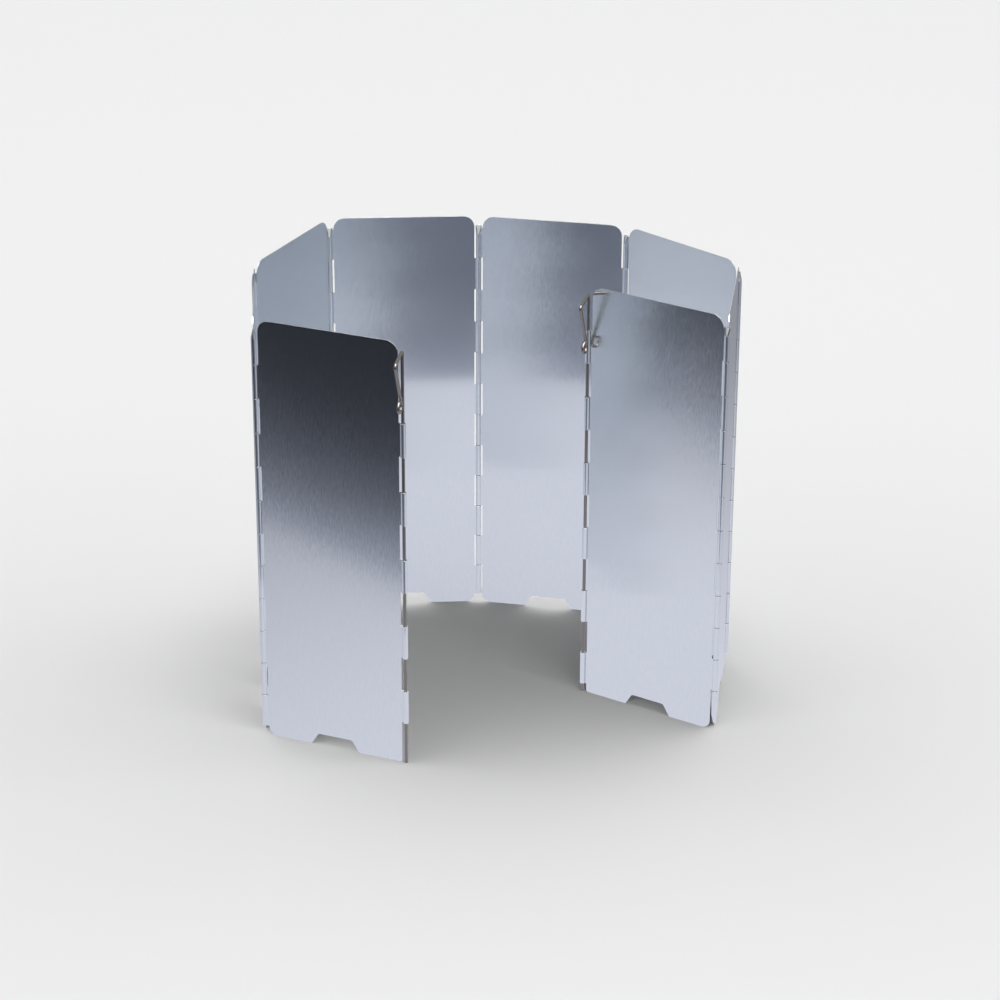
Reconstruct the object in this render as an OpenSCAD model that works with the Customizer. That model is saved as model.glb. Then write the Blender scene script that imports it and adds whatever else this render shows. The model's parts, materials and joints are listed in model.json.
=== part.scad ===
// Folding stove windscreen: eight stamped aluminium plates joined by seven pinned hinges,
// with a wire ground stake in the knuckles of each free edge. Sizes in millimetres.
// The windscreen stands open around a stove, as in use, with the gap at the front.

/* [Plates] */
// Height of a plate
plate_h = 240; // [200:1:280]
// Distance between the two hinge lines of a plate
plate_w = 84; // [76:0.5:96]
// Thickness of the aluminium sheet
sheet_t = 0.4; // [0.3:0.05:0.5]
// Radius of the top corners
top_corner_r = 6.5; // [4:0.5:8]
// Radius of the bottom corners at a hinge
bottom_corner_r = 5; // [3:0.5:6]
// Radius of the bottom corners at the two free edges
free_corner_r = 1.2; // [0.5:0.1:3]

/* [Vents] */
// Width of a vent at the bottom edge
vent_mouth_w = 28; // [20:0.5:34]
// Width of a vent at its top
vent_top_w = 20; // [12:0.5:26]
// Height of a vent
vent_h = 6.5; // [5:0.5:9]
// Radius of a vent's corners
vent_r = 2; // [1:0.25:2.5]

/* [Knuckles] */
// Number of knuckle places along a hinge, shared by its two plates
knuckle_count = 12; // [8:2:16]
// Distance from the top edge to the first knuckle
margin_top = 5.5; // [5:0.5:8]
// Distance from the last knuckle to the bottom edge
margin_bottom = 4.8; // [4:0.2:6]
// Gap between two knuckles along the pin
knuckle_gap = 0.35; // [0.2:0.05:0.6]
// Distance from the hinge line to the edge of a plate beside its neighbour's knuckle
notch_reach = 2.45; // [2.35:0.05:3]
// Radius of the inner corners between knuckles
notch_r = 0.3; // [0.2:0.05:0.8]
// Radius inside the bend that leads the sheet into its knuckle
bend_r = 0.8; // [0.6:0.1:1]
// Gap between the faces of two plates folded against each other
fold_gap = 0.06; // [0.04:0.01:0.12]

/* [Pins] */
// Diameter of the steel rod of pins and stakes
rod_d = 1.8; // [1.6:0.1:2]
// Gap between a rod and its bore, on each side
bore_clearance = 0.2; // [0.05:0.05:0.25]
// Length of the pinched end of a knuckle that keeps the pin in
crimp_l = 4.5; // [3:0.5:6]
// Length of its taper, from the round barrel to the flat end
crimp_taper_l = 2.5; // [1.5:0.1:2.8]
// Width of the pinched end
crimp_w = 3.5; // [3:0.1:4]
// Thickness of the pinched end
crimp_t = 1; // [0.9:0.05:1.4]
// Gap between the end of a pin and the pinched end over it
pin_end_gap = 0.3; // [0.2:0.05:0.5]

/* [Stakes] */
// Height of the top corner of a stake's handle
handle_top = 235.5; // [190:0.5:238]
// Distance from the rod to the outer corner of the handle
handle_reach = 14; // [10:0.5:18]
// Angle of the handle's top below level
handle_dip = 12; // [5:1:20]
// Angle of the handle's leg from upright
leg_lean = 24.5; // [18:0.5:30]
// Bend radius of the handle's two corners, at the middle of the wire
handle_bend_r = 1.5; // [1.2:0.1:2.5]
// Radius of the eye, at the middle of the wire
eye_r = 2.85; // [2.4:0.05:3.5]
// Gap between the end of the wire and the leg where the eye closes
eye_close_gap = 0.1; // [0.05:0.05:0.4]
// Gap between the eye and the knuckle behind it
eye_gap = 0.35; // [0.2:0.05:1]
// Swing of the left handle from square to its plate, towards the plate
left_swing = -10; // [-25:1:25]
// Swing of the right handle from square to its plate, towards the plate
right_swing = 13; // [-25:1:25]

/* [Stance] */
// Direction of the first plate, seen from above
first_heading = 157.5; // [150:0.5:165]
// Inward turn at the first hinge
turn_1 = 63; // [55:0.5:70]
// Inward turn at the second hinge
turn_2 = 29.5; // [20:0.5:38]
// Inward turn at the third hinge
turn_3 = 60.5; // [52:0.5:68]
// Inward turn at the fourth hinge
turn_4 = 15.5; // [5:0.5:25]
// Inward turn at the fifth hinge
turn_5 = 34; // [25:0.5:40]
// Inward turn at the sixth hinge
turn_6 = 52.5; // [45:0.5:60]
// Inward turn at the seventh hinge
turn_7 = 115; // [105:0.5:120]

/* [Hidden] */

aluminium = "#b9bfcb";
steel = "#8a827b";
plate_count = 8;
// How far a cutting shape reaches past what it cuts, and how far two joined shapes share space.
cut = 1;
overlap = 0.02;

// Cross-section of a knuckle: the sheet passes just beside the pin's centre, so that plates
// folded together lie face to face, and bends back into the barrel.
rod_r = rod_d / 2;
bore_r = rod_r + bore_clearance;
barrel_r = bore_r + sheet_t;
sheet_side = (sheet_t + fold_gap) / 2;
bend_y = sheet_side + sheet_t / 2 + bend_r - overlap;
bend_x = sqrt(pow(barrel_r + bend_r - overlap, 2) - pow(bend_y, 2));
bend_a = atan2(bend_y, bend_x);
// Direction of the rolled sheet's lip from the pin's centre.
lip_a = -2;

// Knuckle places are numbered from 1 at the top.
pitch = (plate_h - margin_top - margin_bottom) / knuckle_count;
function place_z(k) = plate_h - margin_top - k * pitch;

// The left edge of a plate, seen from inside the ring, has the odd knuckles and the right edge the even
// ones. The first plate's free edge starts at its third knuckle, so that its stake can slide.
sheet_w = sqrt(pow(plate_w, 2) - pow(2 * sheet_side, 2));
function lift(n) = n % 2 == 1 ? sheet_side : -sheet_side;
function tilt(n) = atan2(2 * lift(n), sheet_w);

// Stance of the ring, seen from above, with the inner side on the right of the walk from plate 1.
turns = [0, turn_1, turn_2, turn_3, turn_4, turn_5, turn_6, turn_7];
function heading(n) = n == 1 ? first_heading : heading(n - 1) - turns[n - 1];
function along(a) = [cos(a), sin(a), 0];
function walk(n) = n == 0 ? [0, 0, 0] : walk(n - 1) + plate_w * along(heading(n));
left_aim = heading(1) + 90 - left_swing;
right_aim = heading(plate_count) + 90 + right_swing;

// The reach of the ring and its handles, whose middle is the origin.
hinges = [for (n = [0 : plate_count]) walk(n)];
tips = [hinges[0] + handle_reach * along(left_aim),
    hinges[plate_count] + handle_reach * along(right_aim)];
function low(axis) = min(min([for (p = hinges) p[axis]]) - barrel_r,
    min([for (p = tips) p[axis]]) - rod_r);
function high(axis) = max(max([for (p = hinges) p[axis]]) + barrel_r,
    max([for (p = tips) p[axis]]) + rod_r);
middle = [(low(0) + high(0)) / 2, (low(1) + high(1)) / 2, 0];
function hinge(n) = hinges[n] - middle;

// Stake handle, in the upright plane through the rod.
eye_x = barrel_r + eye_gap + rod_r + eye_r;
leg_foot_x = eye_x - eye_r * cos(leg_lean);
top_turn = 90 + handle_dip;
reach_turn = 90 - handle_dip + leg_lean;
top_tangent = handle_bend_r * tan(top_turn / 2);
reach_tangent = handle_bend_r * tan(reach_turn / 2);
top_l = handle_reach / cos(handle_dip) - top_tangent - reach_tangent;
leg_l = (handle_reach - leg_foot_x) / sin(leg_lean) - reach_tangent;
eye_turn = 360 - acos((eye_r - rod_r - eye_close_gap) / (eye_r + rod_r));
rod_l = handle_top - top_tangent;
wire_sides = 16;
// Length of wire that the handle's sweep shares with the rod.
root_l = 1;
// The wire as runs, each a straight length followed by a bend: length, bend radius, turn to the left.
handle_runs = [[root_l, handle_bend_r, -top_turn], [top_l, handle_bend_r, -reach_turn],
    [leg_l, eye_r, eye_turn]];

// A place on the wire is [outward, up, direction].
function ahead(s, l) = [s[0] + l * cos(s[2]), s[1] + l * sin(s[2]), s[2]];
function bent(s, r, a) = let (r = r * sign(a))
    [s[0] + r * (sin(s[2] + a) - sin(s[2])), s[1] - r * (cos(s[2] + a) - cos(s[2])), s[2] + a];
function trace(s, runs, n = 0) = n == len(runs) ? [] : let (
    run = runs[n],
    steps = ceil(abs(run[2]) / 15),
    start = ahead(s, run[0]),
    arc = [for (i = [0 : steps]) bent(start, run[1], run[2] * i / steps)])
    concat(arc, trace(arc[steps], runs, n + 1));

// Pins end between the pinched ends of the first and the last knuckle.
pin_bottom = place_z(knuckle_count) + knuckle_gap / 2 + crimp_l + pin_end_gap;
pin_top = place_z(0) - knuckle_gap / 2 - crimp_l - pin_end_gap;

// Removes the square corner at the origin outside a quarter round towards +x and +z.
module corner_cut(r) {
    difference() {
        translate([-cut, -cut, -cut]) cube([r + cut, 2 * cut, r + cut]);
        translate([r, 0, r]) rotate([90, 0, 0]) cylinder(4 * cut, r = r, center = true, $fn = 64);
    }
}

// Flat sheet of a plate between its two bends, with the corners at the hinges.
module panel(left_r, right_r) {
    difference() {
        translate([bend_x, -sheet_t / 2, 0]) cube([sheet_w - 2 * bend_x, sheet_t, plate_h]);
        translate([notch_reach, 0, 0]) corner_cut(left_r);
        translate([sheet_w - notch_reach, 0, 0]) mirror([1, 0, 0]) corner_cut(right_r);
        translate([notch_reach, 0, plate_h]) mirror([0, 0, 1]) corner_cut(top_corner_r);
        translate([sheet_w - notch_reach, 0, plate_h])
            rotate([0, 180, 0]) corner_cut(top_corner_r);
        translate([sheet_w / 2, 0, 0]) vent();
    }
}

// Vent in the bottom edge: a trapezoid with round top corners.
module vent() {
    slant = atan2(vent_h, (vent_mouth_w - vent_top_w) / 2);
    centre_x = vent_top_w / 2 - vent_r * tan(slant / 2);
    centre_z = vent_h - vent_r;
    side = [centre_x + vent_r * sin(slant), centre_z + vent_r * cos(slant)];
    foot = [vent_mouth_w / 2 + cut / tan(slant), -cut];
    rotate([90, 0, 0]) {
        linear_extrude(2 * cut, center = true)
            polygon([[-foot[0], foot[1]], [-side[0], side[1]], [-centre_x, vent_h],
                [centre_x, vent_h], side, foot]);
        for (x = [-centre_x, centre_x])
            translate([x, centre_z, 0]) cylinder(2 * cut, r = vent_r, center = true, $fn = 48);
    }
}

// Rolled edge of a sheet: barrel, bend and seam, round the pin's line at the origin, with the sheet
// towards +x and a little to the +y side.
module curl(z0, z1) {
    h = z1 - z0;
    translate([0, 0, z0]) difference() {
        union() {
            cylinder(h, r = barrel_r, $fn = 48);
            translate([bore_r, sheet_side - sheet_t / 2, 0]) cube([notch_reach - bore_r, sheet_t, h]);
            bend(h);
        }
        translate([0, 0, -cut]) cylinder(h + 2 * cut, r = bore_r, $fn = 48);
        seam(h);
    }
}

// Hollow side of the bend, between the barrel and the sheet.
module bend(h) {
    difference() {
        linear_extrude(h) polygon([[bore_r, sheet_side], (barrel_r - overlap) * [cos(bend_a), sin(bend_a)],
            [bend_x, bend_y - bend_r + overlap], [bend_x, sheet_side]]);
        translate([bend_x, bend_y, -cut]) cylinder(h + 2 * cut, r = bend_r, $fn = 48);
    }
}

// Gap between the lip of the rolled sheet and the sheet that it comes back to.
module seam(h) {
    out_x = barrel_r + bend_r / 4;
    difference() {
        translate([0, 0, -cut]) linear_extrude(h + 2 * cut) polygon([[0, 0],
            out_x * [cos(lip_a), sin(lip_a)], [out_x, sheet_side], [0, sheet_side]]);
        translate([bend_x, bend_y, -2 * cut]) cylinder(h + 4 * cut, r = bend_r + sheet_t, $fn = 48);
    }
}

// Space beside a neighbour's knuckle, from z0 to z1, open towards -x.
module notch(z0, z1) {
    h = z1 - z0;
    depth = barrel_r + notch_reach + cut;
    half_w = barrel_r + cut;
    translate([notch_reach - depth, -half_w, z0]) {
        translate([0, 0, notch_r]) cube([depth, 2 * half_w, h - 2 * notch_r]);
        cube([depth - notch_r, 2 * half_w, h]);
        for (z = [notch_r, h - notch_r])
            translate([depth - notch_r, half_w, z]) rotate([90, 0, 0])
                cylinder(2 * half_w, r = notch_r, center = true, $fn = 32);
    }
}

// Pinched end of a knuckle, from its barrel at z = 0 to its flat end at z = crimp_l.
module crimp() {
    difference() {
        union() {
            hull() {
                translate([0, 0, -overlap]) cylinder(overlap, r = barrel_r - overlap / 2, $fn = 24);
                translate([0, 0, crimp_taper_l]) linear_extrude(crimp_l - crimp_taper_l)
                    scale([crimp_w / 2, crimp_t / 2]) circle(1, $fn = 24);
            }
            translate([bore_r, sheet_side - sheet_t / 2, 0])
                cube([bend_x - bore_r + overlap, sheet_t, crimp_l]);
        }
        hull() {
            translate([0, 0, -2 * overlap]) cylinder(2 * overlap, r = bore_r - overlap / 2, $fn = 24);
            translate([0, 0, crimp_taper_l]) linear_extrude(crimp_l)
                scale([crimp_w / 2 - sheet_t, crimp_t / 2 - sheet_t]) circle(1, $fn = 24);
        }
    }
}

// One edge of a plate: knuckles at the places first, first + 2, ... up to last.
module knuckles(first, last, crimp_top, crimp_bottom) {
    top = place_z(first - 1) - knuckle_gap / 2;
    bottom = place_z(last) + knuckle_gap / 2;
    curl_top = crimp_top ? top - crimp_l : top;
    curl_bottom = crimp_bottom ? bottom + crimp_l : bottom;
    for (k = [first : 2 : last])
        curl(k == last ? curl_bottom : place_z(k) + knuckle_gap / 2,
            k == first ? curl_top : place_z(k - 1) - knuckle_gap / 2);
    if (crimp_top) translate([0, 0, curl_top]) crimp();
    if (crimp_bottom) translate([0, 0, curl_bottom]) mirror([0, 0, 1]) crimp();
}

// Notches of one edge: between the knuckles, above the first and below the last.
module notches(first, last) {
    if (last - first > 1) for (k = [first + 1 : 2 : last - 1])
        notch(place_z(k) - knuckle_gap / 2, place_z(k - 1) + knuckle_gap / 2);
    notch(place_z(first - 1) - knuckle_gap / 2, plate_h + notch_r + cut);
    notch(-notch_r - cut, place_z(last) + knuckle_gap / 2);
}

// Moves its children from a plate's own frame, with the flat sheet along +x, to the plate's place.
module at_plate(n) {
    translate(hinge(n - 1)) rotate(heading(n) + tilt(n)) translate([0, -lift(n), 0]) children();
}

// Moves its children from the frame of a rolled edge to the left or right edge of a plate.
module at_left_edge(n) {
    translate([0, lift(n), 0]) mirror([0, lift(n) > 0 ? 1 : 0, 0]) children();
}
module at_right_edge(n) {
    translate([sheet_w, -lift(n), 0])
        mirror([1, 0, 0]) mirror([0, lift(n) < 0 ? 1 : 0, 0]) children();
}

module plate(n) {
    free_left = n == 1;
    free_right = n == plate_count;
    first_left = free_left ? 3 : 1;
    last_left = knuckle_count - 1;
    at_plate(n) {
        difference() {
            panel(free_left ? free_corner_r : bottom_corner_r,
                free_right ? free_corner_r : bottom_corner_r);
            at_left_edge(n) notches(first_left, last_left);
            at_right_edge(n) notches(2, knuckle_count);
        }
        at_left_edge(n) knuckles(first_left, last_left, !free_left, false);
        at_right_edge(n) knuckles(2, knuckle_count, false, !free_right);
    }
}

module hinge_pin(n) {
    translate(hinge(n) + [0, 0, pin_bottom]) cylinder(pin_top - pin_bottom, r = rod_r, $fn = 48);
}

// Round wire along places in the upright plane through the rod.
module wire(places, r) {
    last = len(places) - 1;
    function ring(n) = [for (i = [0 : wire_sides - 1]) let (a = i * 360 / wire_sides)
        [n[0] - r * cos(a) * sin(n[2]), r * sin(a), n[1] + r * cos(a) * cos(n[2])]];
    function corner(n, i) = n * wire_sides + i % wire_sides;
    polyhedron([for (n = places) each ring(n)], concat(
        [[for (i = [wire_sides - 1 : -1 : 0]) corner(0, i)]],
        [[for (i = [0 : wire_sides - 1]) corner(last, i)]],
        [for (n = [1 : last]) for (i = [0 : wire_sides - 1])
            each [[corner(n - 1, i), corner(n, i + 1), corner(n, i)],
                [corner(n - 1, i), corner(n - 1, i + 1), corner(n, i + 1)]]]));
}

// Stake: a rod bent over into a handle, which ends in a closed eye.
module stake(at, aim) {
    root = [0, rod_l - root_l, 90];
    translate(at) rotate(aim) {
        cylinder(rod_l, r = rod_r, $fn = 48);
        wire(concat([root], trace(root, handle_runs)), rod_r - overlap / 2);
    }
}

module plate_1() color(aluminium) plate(1);
module plate_2() color(aluminium) plate(2);
module plate_3() color(aluminium) plate(3);
module plate_4() color(aluminium) plate(4);
module plate_5() color(aluminium) plate(5);
module plate_6() color(aluminium) plate(6);
module plate_7() color(aluminium) plate(7);
module plate_8() color(aluminium) plate(8);
module hinge_pin_1() color(steel) hinge_pin(1);
module hinge_pin_2() color(steel) hinge_pin(2);
module hinge_pin_3() color(steel) hinge_pin(3);
module hinge_pin_4() color(steel) hinge_pin(4);
module hinge_pin_5() color(steel) hinge_pin(5);
module hinge_pin_6() color(steel) hinge_pin(6);
module hinge_pin_7() color(steel) hinge_pin(7);
module left_stake() color(steel) stake(hinge(0), left_aim);
module right_stake() color(steel) stake(hinge(plate_count), right_aim);

plate_1();
plate_2();
plate_3();
plate_4();
plate_5();
plate_6();
plate_7();
plate_8();
hinge_pin_1();
hinge_pin_2();
hinge_pin_3();
hinge_pin_4();
hinge_pin_5();
hinge_pin_6();
hinge_pin_7();
left_stake();
right_stake();
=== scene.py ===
"""Looks of a folding stove windscreen.

Brushed aluminium plates stand on steel hinge pins, with a wire ground stake at each free edge.
"""

import json
import math

import bmesh
import bpy
from mathutils import Matrix, Vector


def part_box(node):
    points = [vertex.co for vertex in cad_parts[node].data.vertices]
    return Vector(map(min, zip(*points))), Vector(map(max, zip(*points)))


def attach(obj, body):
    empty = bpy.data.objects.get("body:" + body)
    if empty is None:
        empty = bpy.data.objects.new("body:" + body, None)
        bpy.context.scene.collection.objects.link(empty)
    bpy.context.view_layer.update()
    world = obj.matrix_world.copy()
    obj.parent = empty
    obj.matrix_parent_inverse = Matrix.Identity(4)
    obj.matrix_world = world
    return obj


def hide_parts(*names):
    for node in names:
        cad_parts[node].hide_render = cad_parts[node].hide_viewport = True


bl_info = {
    "name": "Stove Windscreen",
    "version": (1, 0, 0),
    "blender": (4, 5, 0),
    "location": "View3D > Sidebar > Windscreen",
    "description": "Finishes the plates, pins and stakes of a folding windscreen and sets its stage",
    "category": "Object",
}

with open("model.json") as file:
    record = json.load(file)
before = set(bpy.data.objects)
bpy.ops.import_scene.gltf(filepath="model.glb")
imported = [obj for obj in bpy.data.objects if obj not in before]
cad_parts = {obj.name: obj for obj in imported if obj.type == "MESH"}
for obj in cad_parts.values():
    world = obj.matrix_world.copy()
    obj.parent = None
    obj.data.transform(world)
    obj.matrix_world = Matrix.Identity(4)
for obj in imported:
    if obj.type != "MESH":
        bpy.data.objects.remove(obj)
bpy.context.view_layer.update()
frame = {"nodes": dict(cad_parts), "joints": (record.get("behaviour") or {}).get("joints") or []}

MM = 0.001
PLATES = [f"plate_{n}" for n in range(1, 9)]
PINS = [f"hinge_pin_{n}" for n in range(1, 8)]
STAKES = {"left_stake": "left_stake_body", "right_stake": "right_stake_body"}
# Sides of the stakes' wire, and the most that one facet of a bend turns.
WIRE_SIDES = 24
BEND_STEP = math.radians(7.5)
# Half-width of the floor and of the dark card, far beyond what the camera shows.
FAR = 12.0
# Values that a noise texture seldom leaves.
NOISE_RANGE = (0.3, 0.7)
# A quarter turn, in the unit of the anisotropic rotation.
QUARTER_TURN = 0.25


def linear(hex_colour):
    """An sRGB hex colour as linear red, green, blue and alpha."""
    parts = [int(hex_colour[i : i + 2], 16) / 255 for i in (1, 3, 5)]
    return [p / 12.92 if p <= 0.04045 else ((p + 0.055) / 1.055) ** 2.4 for p in parts] + [1.0]


def joint(name):
    """The place of a named joint at rest, in the row frame."""
    return Vector(next(j["pos_m"] for j in frame["joints"] if j["name"] == name))


class PlateFinish(bpy.types.PropertyGroup):
    """Finish of the aluminium plates."""

    colour: bpy.props.FloatVectorProperty(
        name="Colour", description="Colour that the bare aluminium reflects", subtype="COLOR",
        size=4, min=0, max=1, default=linear("#eff2f4"))
    roughness: bpy.props.FloatProperty(
        name="Roughness", description="Roughness of the cleanest face", subtype="FACTOR", min=0, max=1,
        default=0.135)
    smudge_roughness: bpy.props.FloatProperty(
        name="Smudge roughness", description="Roughness that faint smudges add", subtype="FACTOR", min=0,
        max=1, default=0.02)
    smudge_size: bpy.props.FloatProperty(
        name="Smudge size", description="Size of one smudge", subtype="DISTANCE", unit="LENGTH",
        default=45 * MM)
    # Real brushing lines are under 0.1 mm wide. They are drawn coarser, so that the camera shows them.
    grain_width: bpy.props.FloatProperty(
        name="Grain width", description="Width of one line of the grain", subtype="DISTANCE",
        unit="LENGTH", default=0.4 * MM)
    grain_length: bpy.props.FloatProperty(
        name="Grain length", description="Length of one line of the grain", subtype="DISTANCE",
        unit="LENGTH", default=3.5 * MM)
    grain_shade: bpy.props.FloatProperty(
        name="Grain shade", description="How much darker the darkest lines of the grain are",
        subtype="FACTOR", min=0, max=1, default=0.04)
    grain_tilt: bpy.props.FloatProperty(
        name="Grain tilt", description="How far the sides of the grain lean sideways", subtype="FACTOR",
        min=0, max=2, default=0.08)
    edge_round: bpy.props.FloatProperty(
        name="Edge round", description="Radius to which the cut edges of the sheet are tumbled smooth",
        subtype="DISTANCE", unit="LENGTH", default=0.15 * MM)


class RodFinish(bpy.types.PropertyGroup):
    """Finish of the steel pins and stakes."""

    colour: bpy.props.FloatVectorProperty(
        name="Colour", description="Colour that the drawn steel reflects", subtype="COLOR",
        size=4, min=0, max=1, default=linear("#928c87"))
    roughness: bpy.props.FloatProperty(
        name="Roughness", description="Roughness of the drawn rod", subtype="FACTOR", min=0, max=1,
        default=0.22)
    roughness_spread: bpy.props.FloatProperty(
        name="Roughness spread", description="How far the roughness goes up and down along the lines",
        subtype="FACTOR", min=0, max=1, default=0.04)
    # Real die lines are a few hundredths of a millimetre wide. They are drawn coarser too.
    line_width: bpy.props.FloatProperty(
        name="Line width", description="Width of the lines that the die leaves", subtype="DISTANCE",
        unit="LENGTH", default=0.25 * MM)
    line_length: bpy.props.FloatProperty(
        name="Line length", description="Length of the lines that the die leaves", subtype="DISTANCE",
        unit="LENGTH", default=25 * MM)
    line_shade: bpy.props.FloatProperty(
        name="Line shade", description="How much darker the darkest lines are", subtype="FACTOR", min=0,
        max=1, default=0.15)


class StakeShape(bpy.types.PropertyGroup):
    """Bends of the wire stakes."""

    reach: bpy.props.FloatProperty(
        name="Reach", description="Distance from the rod to the outer corner of the handle",
        subtype="DISTANCE", unit="LENGTH", default=14 * MM)
    dip: bpy.props.FloatProperty(
        name="Dip", description="Angle of the handle's top below level", subtype="ANGLE",
        default=math.radians(12))
    lean: bpy.props.FloatProperty(
        name="Lean", description="Angle of the handle's leg from upright", subtype="ANGLE",
        default=math.radians(24.5))
    bend_radius: bpy.props.FloatProperty(
        name="Bend radius", description="Radius of the handle's corners at the middle of the wire",
        subtype="DISTANCE", unit="LENGTH", default=1.5 * MM)
    eye_radius: bpy.props.FloatProperty(
        name="Eye radius", description="Radius of the closed eye at the middle of the wire",
        subtype="DISTANCE", unit="LENGTH", default=2.85 * MM)
    eye_place: bpy.props.FloatProperty(
        name="Eye place", description="Distance from the rod to the middle of the eye",
        subtype="DISTANCE", unit="LENGTH", default=5.6 * MM)
    end_gap: bpy.props.FloatProperty(
        name="End gap", description="Gap between the end of the wire and the leg where the eye closes",
        subtype="DISTANCE", unit="LENGTH", default=0.1 * MM)
    tip_round: bpy.props.FloatProperty(
        name="Tip round", description="Rounding of the cut ends of the wire", subtype="DISTANCE",
        unit="LENGTH", default=0.35 * MM)


class StageSettings(bpy.types.PropertyGroup):
    """Floor, light and camera."""

    floor_colour: bpy.props.FloatVectorProperty(
        name="Floor colour", description="Colour of the floor and the background", subtype="COLOR",
        size=4, min=0, max=1, default=linear("#ececec"))
    light: bpy.props.FloatProperty(
        name="Light", description="Brightness of the soft light near the horizon", min=0, default=4.95)
    light_overhead: bpy.props.FloatProperty(
        name="Light overhead", description="Brightness of the soft light high up", min=0, default=0.1)
    sky_level: bpy.props.FloatProperty(
        name="Sky level", description="Brightness of the sky in the metal's reflections", min=0,
        default=0.7)
    # Painted highlight: a bright patch of sky that only the metal's reflections show, and which lights
    # nothing.
    softbox_level: bpy.props.FloatProperty(
        name="Soft box level", description="Brightness of the soft box that the metal reflects", min=0,
        default=6.0)
    lamp_power: bpy.props.FloatProperty(
        name="Lamp power", description="Power of the lamp overhead", unit="POWER", min=0, default=2.0)
    lamp_size: bpy.props.FloatProperty(
        name="Lamp size", description="Side of the lamp overhead", subtype="DISTANCE", unit="LENGTH",
        default=300 * MM)
    lamp_place: bpy.props.FloatVectorProperty(
        name="Lamp place", description="Place of the lamp overhead", subtype="TRANSLATION", unit="LENGTH",
        size=3, default=(100 * MM, -300 * MM, 1500 * MM))
    # Painted light and shade: where the metal reflects the floor, it sees a glow painted in this colour,
    # brightest near the glow centre and darker away from it, not the floor as the lamps light it.
    glow_colour: bpy.props.FloatVectorProperty(
        name="Glow colour", description="Colour of the lit floor in the metal's reflections",
        subtype="COLOR", size=4, min=0, max=1, default=linear("#e9ebf8"))
    glow_centre: bpy.props.FloatVectorProperty(
        name="Glow centre", description="Where the metal sees the floor brightest", subtype="TRANSLATION",
        unit="LENGTH", size=3, default=(60 * MM, -80 * MM, 0))
    glow_core: bpy.props.FloatProperty(
        name="Glow core", description="Distance from the glow centre where the lit floor starts to darken",
        subtype="DISTANCE", unit="LENGTH", default=50 * MM)
    glow_fade: bpy.props.FloatProperty(
        name="Glow fade", description="Distance from the glow centre where the lit floor is darkest",
        subtype="DISTANCE", unit="LENGTH", default=700 * MM)
    glow_near: bpy.props.FloatProperty(
        name="Glow near", description="Brightness of the lit floor at the glow centre", min=0,
        default=0.86)
    glow_far: bpy.props.FloatProperty(
        name="Glow far", description="Brightness of the lit floor far from the ring", min=0,
        default=0.385)
    # Painted reflection and shade: the dark card glows with these painted colours, which stand for dark,
    # shaded surroundings. It is lighter at its near edge, darker behind it and darker to the left.
    flag_distance: bpy.props.FloatProperty(
        name="Card distance", description="Distance from the middle of the ring to the dark card in front",
        subtype="DISTANCE", unit="LENGTH", default=246 * MM)
    flag_left: bpy.props.FloatVectorProperty(
        name="Card, left", description="Colour of the left end of the dark card that the metal reflects",
        subtype="COLOR", size=4, min=0, max=1, default=linear("#23262c"))
    flag_middle: bpy.props.FloatVectorProperty(
        name="Card, middle", description="Colour of the dark card in front of the opening",
        subtype="COLOR", size=4, min=0, max=1, default=linear("#676c7b"))
    flag_edge: bpy.props.FloatVectorProperty(
        name="Card edge", description="Colour of the card's near edge, before it darkens",
        subtype="COLOR", size=4, min=0, max=1, default=linear("#999eaf"))
    flag_fade: bpy.props.FloatProperty(
        name="Card fade", description="Distance over which the card darkens behind its edge",
        subtype="DISTANCE", unit="LENGTH", default=50 * MM)
    eye: bpy.props.FloatVectorProperty(
        name="Eye", description="Place of the camera from the foot of the fourth hinge",
        subtype="TRANSLATION", unit="LENGTH", size=3, default=(27.67 * MM, -1622.37 * MM, 788.22 * MM))
    aim: bpy.props.FloatVectorProperty(
        name="Aim", description="Camera's turn: down from level, to the left, and about its own axis",
        subtype="EULER", unit="ROTATION", size=3,
        default=(math.radians(24.013), math.radians(0.534), math.radians(0.215)))
    lens: bpy.props.FloatProperty(
        name="Lens", description="Focal length in millimetres on a 36 mm frame", unit="CAMERA", min=10,
        default=109.37)


def add(tree, kind, inputs=None, **settings):
    """Adds a node, sets it, and gives its inputs values or links from other nodes' outputs."""
    node = tree.nodes.new(kind)
    for name, value in settings.items():
        setattr(node, name, value)
    for name, value in (inputs or {}).items():
        socket = node.inputs[name]
        if isinstance(value, bpy.types.NodeSocket):
            tree.links.new(value, socket)
        else:
            socket.default_value = value
    return node


def calculate(tree, operation, *values):
    """The result of a math node."""
    return add(tree, "ShaderNodeMath", dict(enumerate(values)), operation=operation).outputs[0]


def vector_math(tree, operation, inputs, result="Vector"):
    """The result of a vector math node."""
    return add(tree, "ShaderNodeVectorMath", inputs, operation=operation).outputs[result]


def remap(tree, value, old, new, **settings):
    """A value carried from one range to another and held at its ends."""
    node = add(tree, "ShaderNodeMapRange", {
        "Value": value, "From Min": old[0], "From Max": old[1], "To Min": new[0], "To Max": new[1]},
        **settings)
    return node.outputs[0]


def mixed(tree, factor, first, second, blend_type="MIX"):
    """The mix of two colours."""
    node = add(tree, "ShaderNodeMix", {"Factor": factor, "A": first, "B": second},
               data_type="RGBA", blend_type=blend_type)
    return node.outputs["Result"]


def new_material(name):
    """An empty material, with its node tree and its output node."""
    material = bpy.data.materials.new(name)
    material.use_nodes = True
    material.node_tree.nodes.clear()
    return material, material.node_tree, add(material.node_tree, "ShaderNodeOutputMaterial")


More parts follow.
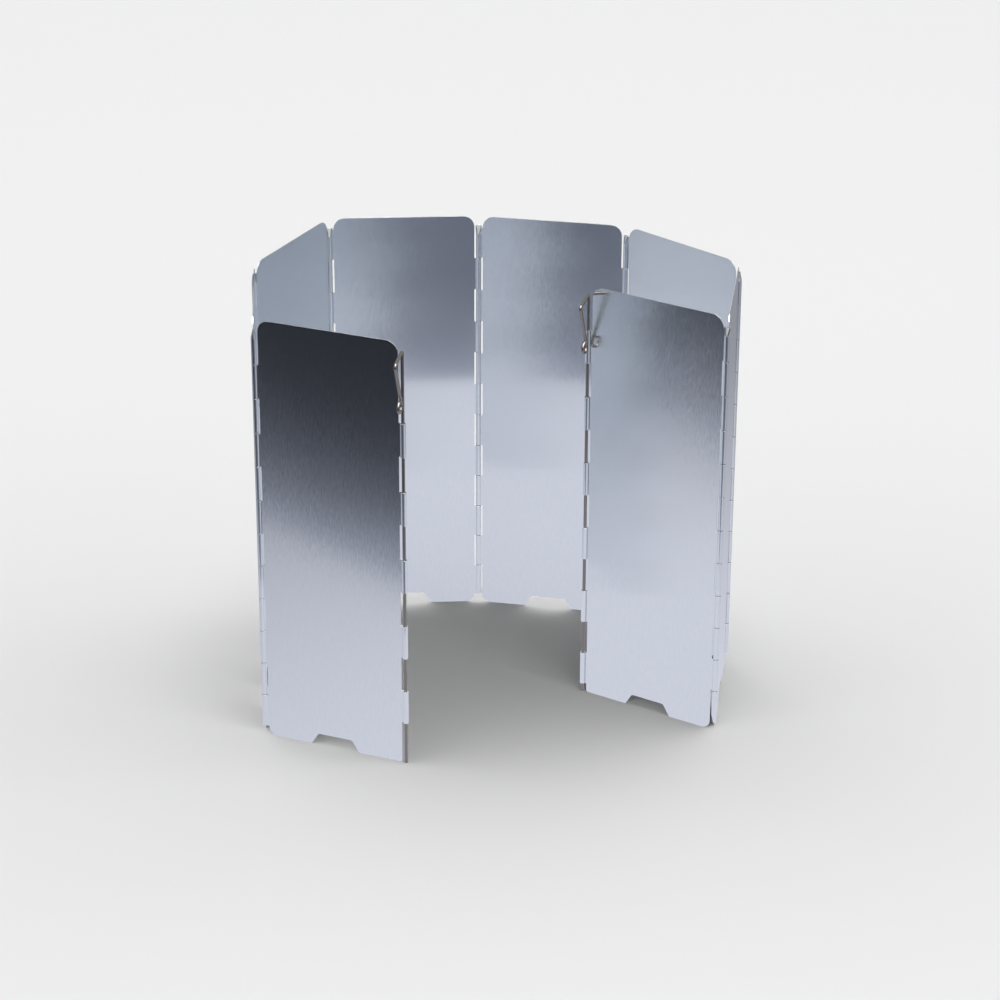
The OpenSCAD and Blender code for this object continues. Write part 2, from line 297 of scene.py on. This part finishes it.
def brushed_aluminium(look):
    """Sheet of brushed aluminium, with the grain along its height.

    It blurs reflections sideways, and keeps them crisp up and down.
    """
    material, tree, output = new_material("brushed_aluminium")
    place = add(tree, "ShaderNodeTexCoord").outputs["Object"]
    across, along = 1 / look.grain_width, 1 / look.grain_length
    streaks = vector_math(tree, "MULTIPLY", {0: place, 1: (across, across, along)})
    grain = add(tree, "ShaderNodeTexNoise", {
        "Vector": streaks, "Scale": 1.0, "Detail": 1.0, "Roughness": 0.5}).outputs["Fac"]
    smudges = add(tree, "ShaderNodeTexNoise", {
        "Vector": place, "Scale": 1 / look.smudge_size, "Detail": 4.0, "Roughness": 0.55}).outputs["Fac"]
    smudge_range = (0.35, 0.75)
    rough = remap(tree, smudges, smudge_range, (look.roughness, look.roughness + look.smudge_roughness))
    shade = remap(tree, grain, NOISE_RANGE, (1 - look.grain_shade, 1.0))
    colour = mixed(tree, 1.0, look.colour, shade, "MULTIPLY")
    # The rounded cut edges catch the light in thin bright lines.
    face = add(tree, "ShaderNodeBevel", {"Radius": look.edge_round}).outputs["Normal"]
    upright = add(tree, "ShaderNodeCombineXYZ", {"Z": 1.0}).outputs[0]
    sideways = vector_math(tree, "CROSS_PRODUCT", {0: face, 1: upright})
    lean = remap(tree, grain, (0.0, 1.0), (-look.grain_tilt / 2, look.grain_tilt / 2))
    leaning = vector_math(tree, "SCALE", {0: sideways, "Scale": lean})
    tilted = vector_math(tree, "ADD", {0: face, 1: leaning})
    normal = vector_math(tree, "NORMALIZE", {0: tilted})
    shader = add(tree, "ShaderNodeBsdfPrincipled", {
        "Base Color": colour, "Metallic": 1.0, "Roughness": rough, "Anisotropic": 1.0,
        "Anisotropic Rotation": QUARTER_TURN, "Normal": normal, "Tangent": upright})
    tree.links.new(shader.outputs[0], output.inputs["Surface"])
    return material


def drawn_steel(look):
    """Stainless wire drawn through a die: a warm grey with fine lines along it."""
    material, tree, output = new_material("drawn_steel")
    place = add(tree, "ShaderNodeTexCoord").outputs["Object"]
    across, along = 1 / look.line_width, 1 / look.line_length
    lines = vector_math(tree, "MULTIPLY", {0: place, 1: (across, across, along)})
    marks = add(tree, "ShaderNodeTexNoise", {"Vector": lines, "Scale": 1.0, "Detail": 1.0}).outputs["Fac"]
    spread = look.roughness_spread
    rough = remap(tree, marks, NOISE_RANGE, (look.roughness - spread, look.roughness + spread))
    shade = remap(tree, marks, NOISE_RANGE, (1 - look.line_shade, 1.0))
    colour = mixed(tree, 1.0, look.colour, shade, "MULTIPLY")
    shader = add(tree, "ShaderNodeBsdfPrincipled", {
        "Base Color": colour, "Metallic": 1.0, "Roughness": rough})
    tree.links.new(shader.outputs[0], output.inputs["Surface"])
    return material


def finish_node(name, material):
    """Gives a CAD node its material."""
    piece = frame["nodes"][name]
    piece.data.materials.clear()
    piece.data.materials.append(material)


class WINDSCREEN_OT_plates(bpy.types.Operator):
    """Finish the eight plates as brushed aluminium"""

    bl_idname = "windscreen.plates"
    bl_label = "Plates"

    def execute(self, context):
        material = brushed_aluminium(context.scene.windscreen_plates)
        for name in PLATES:
            finish_node(name, material)
        return {"FINISHED"}


class WINDSCREEN_OT_pins(bpy.types.Operator):
    """Finish the hinge pins as drawn steel"""

    bl_idname = "windscreen.pins"
    bl_label = "Pins"

    def execute(self, context):
        material = drawn_steel(context.scene.windscreen_rods)
        for name in PINS:
            finish_node(name, material)
        return {"FINISHED"}


def rod_line(name):
    """The foot of a stake's rod and the level direction of its handle, from the CAD node."""
    points = [Vector(v.co) for v in frame["nodes"][name].data.vertices]
    lowest = min(p.z for p in points)
    same_level = 0.01 * MM
    ring = [p for p in points if p.z < lowest + same_level]
    foot = sum(ring, Vector()) / len(ring)
    reach = max((Vector((p.x - foot.x, p.y - foot.y, 0)) for p in points), key=lambda p: p.length)
    return foot, reach.normalized()


def bent_wire(start, runs):
    """Places along a wire, each as outward, up and heading.

    Each run is a length, then a bend with its radius and its turn.
    """
    out, up, heading = start
    places = [start]
    for length, radius, turn in runs:
        out += length * math.cos(heading)
        up += length * math.sin(heading)
        side = math.copysign(radius, turn)
        count = math.ceil(abs(turn) / BEND_STEP)
        for i in range(count + 1):
            now = heading + turn * i / count
            places.append((
                out + side * (math.sin(now) - math.sin(heading)),
                up - side * (math.cos(now) - math.cos(heading)),
                now))
        out, up, heading = places[-1]
    return places


def rounded_ends(places, radius, tip):
    """The places of a wire with the radius at each, drawn in over the last bit at both ends."""

    def along(place, distance):
        out, up, heading = place
        return out + distance * math.cos(heading), up + distance * math.sin(heading), heading

    def drawn_in(place, side):
        """A quarter round from the cut end, on the given side of it, out to the full radius."""
        arc = [math.radians(a) for a in (15, 40, 65, 90)]
        inward = [side * tip * (1 - math.cos(a)) for a in arc]
        radii = [radius - tip * (1 - math.sin(a)) for a in arc]
        return [(along(place, step), ring_radius) for step, ring_radius in zip(inward, radii)]

    start = drawn_in(places[0], 1)
    end = drawn_in(places[-1], -1)
    return start + [(place, radius) for place in places[1:-1]] + end[::-1]


def stake(name, shape, radius):
    """One stake: a rod that is bent over into a handle, which ends in a closed eye."""
    foot, outward = rod_line(name)
    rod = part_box(name)[1][2] - foot.z - radius - shape.bend_radius
    right = math.pi / 2
    first, second = right + shape.dip, right - shape.dip + shape.lean
    first_tangent, second_tangent = (shape.bend_radius * math.tan(turn / 2) for turn in (first, second))
    leg_foot = shape.eye_place - shape.eye_radius * math.cos(shape.lean)
    eye_turn = 2 * math.pi - math.acos(
        (shape.eye_radius - radius - shape.end_gap) / (shape.eye_radius + radius))
    runs = [
        (rod, shape.bend_radius, -first),
        (shape.reach / math.cos(shape.dip) - first_tangent - second_tangent, shape.bend_radius, -second),
        ((shape.reach - leg_foot) / math.sin(shape.lean) - second_tangent, shape.eye_radius, eye_turn),
    ]
    places = rounded_ends(bent_wire((0.0, 0.0, right), runs), radius, shape.tip_round)
    across = outward.cross(Vector((0, 0, 1)))
    mesh = bmesh.new()
    rings = []
    angles = [2 * math.pi * i / WIRE_SIDES for i in range(WIRE_SIDES)]
    for (out, up, heading), ring_radius in places:
        centre = foot + outward * out + Vector((0, 0, up))
        normal = Vector((0, 0, math.cos(heading))) - outward * math.sin(heading)
        spokes = [normal * math.cos(a) + across * math.sin(a) for a in angles]
        rings.append([mesh.verts.new(centre + spoke * ring_radius) for spoke in spokes])
    for low, high in zip(rings, rings[1:]):
        for i in range(WIRE_SIDES):
            j = (i + 1) % WIRE_SIDES
            mesh.faces.new((low[i], low[j], high[j], high[i])).smooth = True
    mesh.faces.new(rings[0][::-1])
    mesh.faces.new(rings[-1])
    bmesh.ops.recalc_face_normals(mesh, faces=mesh.faces)
    data = bpy.data.meshes.new(f"{name}_wire")
    mesh.to_mesh(data)
    mesh.free()
    piece = bpy.data.objects.new(f"{name}_wire", data)
    bpy.context.scene.collection.objects.link(piece)
    return piece


class WINDSCREEN_OT_stakes(bpy.types.Operator):
    """Bend the two wire stakes with their handles and eyes"""

    bl_idname = "windscreen.stakes"
    bl_label = "Stakes"

    def execute(self, context):
        shape = context.scene.windscreen_stakes
        material = drawn_steel(context.scene.windscreen_rods)
        low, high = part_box(PINS[0])
        radius = (high[0] - low[0]) / 2
        for name, body in STAKES.items():
            piece = stake(name, shape, radius)
            piece.data.materials.append(material)
            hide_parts(name)
            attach(piece, body)
        return {"FINISHED"}


def shown_to_metal(tree, path):
    """1 for what the camera sees by way of a reflection, and 0 for light that met a matt face first."""
    either = calculate(tree, "MAXIMUM", path["Is Glossy Ray"], path["Is Transmission Ray"])
    first = calculate(tree, "LESS_THAN", path["Diffuse Depth"], 0.5)
    return calculate(tree, "MULTIPLY", either, first)


def flat_panel(name, corners, material):
    """A flat stage panel with those corners."""
    mesh = bpy.data.meshes.new(name)
    mesh.from_pydata(corners, [], [range(len(corners))])
    mesh.materials.append(material)
    panel = bpy.data.objects.new(name, mesh)
    bpy.context.scene.collection.objects.link(panel)
    return panel


class WINDSCREEN_OT_stage(bpy.types.Operator):
    """Lay the floor, light it softly and set the camera"""

    bl_idname = "windscreen.stage"
    bl_label = "Stage"

    def execute(self, context):
        look = context.scene.windscreen_stage
        self.background(context.scene, look)
        self.floor(look)
        self.flag(look)
        self.lamp(look)
        self.camera(context.scene, look)
        context.scene.view_settings.view_transform = "Standard"
        # Light that the plates pass from one to the next goes on for longer than the usual four bounces.
        context.scene.cycles.glossy_bounces = 10
        return {"FINISHED"}

    def background(self, scene, look):
        """Soft light all round, and the floor's colour where the camera and the metal look."""
        world = bpy.data.worlds.new("studio")
        scene.world = world
        world.use_nodes = True
        tree = world.node_tree
        tree.nodes.clear()
        path = add(tree, "ShaderNodeLightPath").outputs
        direction = add(tree, "ShaderNodeTexCoord").outputs["Generated"]
        soft = add(tree, "ShaderNodeBackground", {
            "Color": linear("#ffffff"), "Strength": self.soft_light(tree, path, direction, look)})
        pale = add(tree, "ShaderNodeBackground", {
            "Color": look.floor_colour, "Strength": self.shown_sky(tree, path, direction, look)})
        seen = calculate(tree, "MAXIMUM", path["Is Camera Ray"], shown_to_metal(tree, path))
        both = add(tree, "ShaderNodeMixShader", {0: seen, 1: soft.outputs[0], 2: pale.outputs[0]})
        output = add(tree, "ShaderNodeOutputWorld")
        tree.links.new(both.outputs[0], output.inputs["Surface"])

    def soft_light(self, tree, path, direction, look):
        """How bright the light is from each direction: most from low down at the sides and the back."""
        axes = add(tree, "ShaderNodeSeparateXYZ", {0: direction}).outputs
        low_to_high = (0.0, 0.8)
        front_to_back, front_shares = (-0.7, 0.1), (0.6, 1.0)
        middle_to_side, side_shares = (0.2, 0.8), (0.7, 1.3)
        height = remap(tree, axes["Z"], low_to_high, (look.light, look.light_overhead))
        front = remap(tree, axes["Y"], front_to_back, front_shares)
        sides = remap(tree, calculate(tree, "ABSOLUTE", axes["X"]), middle_to_side, side_shares)
        level = calculate(tree, "MULTIPLY", height, calculate(tree, "MULTIPLY", front, sides))
        # The plates throw none of this light onto the floor.
        direct = calculate(tree, "SUBTRACT", 1.0, path["Is Glossy Ray"])
        return calculate(tree, "MULTIPLY", level, direct)

    def shown_sky(self, tree, path, direction, look):
        """How bright the sky looks: even to the camera, and to the metal with a painted highlight, a
        bright soft box overhead that lights nothing.
        """
        softbox_direction = (0.0, -0.45, 0.89)
        rim_to_core = (0.75, 0.9)
        nearness = vector_math(tree, "DOT_PRODUCT", {0: direction, 1: softbox_direction}, "Value")
        # Painted highlight: the sky is brighter towards the soft box, only in the metal's reflections.
        painted_softbox = remap(tree, nearness, rim_to_core, (look.sky_level, look.softbox_level))
        level = add(tree, "ShaderNodeMix", {"Factor": path["Is Camera Ray"], "A": painted_softbox, "B": 1.0})
        return level.outputs[0]

    def floor(self, look):
        """Pale matt paper, on which the camera sees the shadow. The metal sees a painted glow instead,
        brightest near the glow centre and darker away from it.
        """
        material, tree, output = new_material("matt_paper_and_painted_glow")
        shown = shown_to_metal(tree, add(tree, "ShaderNodeLightPath").outputs)
        paper = add(tree, "ShaderNodeBsdfDiffuse", {"Color": look.floor_colour})
        place = add(tree, "ShaderNodeTexCoord").outputs["Object"]
        away = vector_math(tree, "DISTANCE", {0: place, 1: look.glow_centre}, "Value")
        level = remap(tree, away, (look.glow_core, look.glow_fade), (look.glow_near, look.glow_far),
                      interpolation_type="SMOOTHSTEP")
        # Painted light: a glow that stands for the lit floor in reflections, fading darker with distance
        # from the glow centre.
        even = add(tree, "ShaderNodeEmission", {"Color": look.glow_colour, "Strength": level})
        both = add(tree, "ShaderNodeMixShader", {0: shown, 1: paper.outputs[0], 2: even.outputs[0]})
        tree.links.new(both.outputs[0], output.inputs["Surface"])
        flat_panel("floor", [(-FAR, -FAR, 0), (FAR, -FAR, 0), (FAR, FAR, 0), (-FAR, FAR, 0)], material)

    def flag(self, look):
        """Painted reflection: a dark card in front of the ring that glows with painted shade, lighter at
        its near edge and darker behind it and to the left. Only the metal's reflections show it.
        """
        material, tree, output = new_material("painted_reflection_card")
        place = add(tree, "ShaderNodeTexCoord").outputs["Object"]
        axes = add(tree, "ShaderNodeSeparateXYZ", {0: place}).outputs
        # Painted shade: the card darkens from its near edge backwards, and from the middle towards the
        # left.
        edge = calculate(tree, "EXPONENT", calculate(tree, "DIVIDE", axes["Y"], look.flag_fade))
        left_to_middle = (-300 * MM, -160 * MM)
        across = remap(tree, axes["X"], left_to_middle, (0.0, 1.0))
        dark = mixed(tree, across, look.flag_left, look.flag_middle)
        shade = mixed(tree, edge, dark, look.flag_edge)
        shader = add(tree, "ShaderNodeEmission", {"Color": shade, "Strength": 1.0})
        tree.links.new(shader.outputs[0], output.inputs["Surface"])
        lift = 0.5 * MM
        corner, knee = (80 * MM, 0), (100 * MM, -100 * MM)
        outline = [(-FAR, -FAR), (FAR, -FAR), knee, corner, (-FAR, 0)]
        card = flat_panel("flag", [(x, y, lift) for x, y in outline], material)
        card.location = (0, -look.flag_distance, 0)
        card.visible_camera = False
        card.visible_diffuse = False
        card.visible_shadow = False
        card.visible_transmission = False

    def lamp(self, look):
        """One small lamp overhead."""
        data = bpy.data.lights.new("overhead", "AREA")
        data.energy = look.lamp_power
        data.size = look.lamp_size
        lamp = bpy.data.objects.new("overhead", data)
        lamp.location = look.lamp_place
        bpy.context.scene.collection.objects.link(lamp)

    def camera(self, scene, look):
        """The photograph's view: from the front, looking down on the ring."""
        data = bpy.data.cameras.new("camera")
        data.sensor_width = 36
        data.lens = look.lens
        data.clip_start = 100 * MM
        data.clip_end = 4 * FAR
        camera = bpy.data.objects.new("camera", data)
        place = joint("hinge_4_fold") + Vector(look.eye)
        down, left, roll = look.aim
        turn = (Matrix.Rotation(left, 4, "Z") @ Matrix.Rotation(math.radians(90) - down, 4, "X")
                @ Matrix.Rotation(roll, 4, "Z"))
        camera.matrix_world = Matrix.Translation(place) @ turn
        scene.collection.objects.link(camera)
        scene.camera = camera


class WINDSCREEN_PT_panel(bpy.types.Panel):
    """Lists the windscreen's groups of pieces and its stage"""

    bl_idname = "WINDSCREEN_PT_panel"
    bl_label = "Windscreen"
    bl_space_type = "VIEW_3D"
    bl_region_type = "UI"
    bl_category = "Windscreen"

    def draw(self, context):
        for operator in OPERATORS:
            self.layout.operator(operator.bl_idname)


OPERATORS = (WINDSCREEN_OT_stage, WINDSCREEN_OT_plates, WINDSCREEN_OT_pins, WINDSCREEN_OT_stakes)
GROUPS = {
    "windscreen_plates": PlateFinish,
    "windscreen_rods": RodFinish,
    "windscreen_stakes": StakeShape,
    "windscreen_stage": StageSettings,
}


def register():
    for group in GROUPS.values():
        bpy.utils.register_class(group)
    for name, group in GROUPS.items():
        setattr(bpy.types.Scene, name, bpy.props.PointerProperty(type=group))
    for operator in OPERATORS:
        bpy.utils.register_class(operator)
    bpy.utils.register_class(WINDSCREEN_PT_panel)


def unregister():
    bpy.utils.unregister_class(WINDSCREEN_PT_panel)
    for operator in reversed(OPERATORS):
        bpy.utils.unregister_class(operator)
    for name, group in GROUPS.items():
        delattr(bpy.types.Scene, name)
        bpy.utils.unregister_class(group)


def main():
    register()
    bpy.ops.windscreen.stage()
    bpy.ops.windscreen.plates()
    bpy.ops.windscreen.pins()
    bpy.ops.windscreen.stakes()


if __name__ == "__main__":
    main()
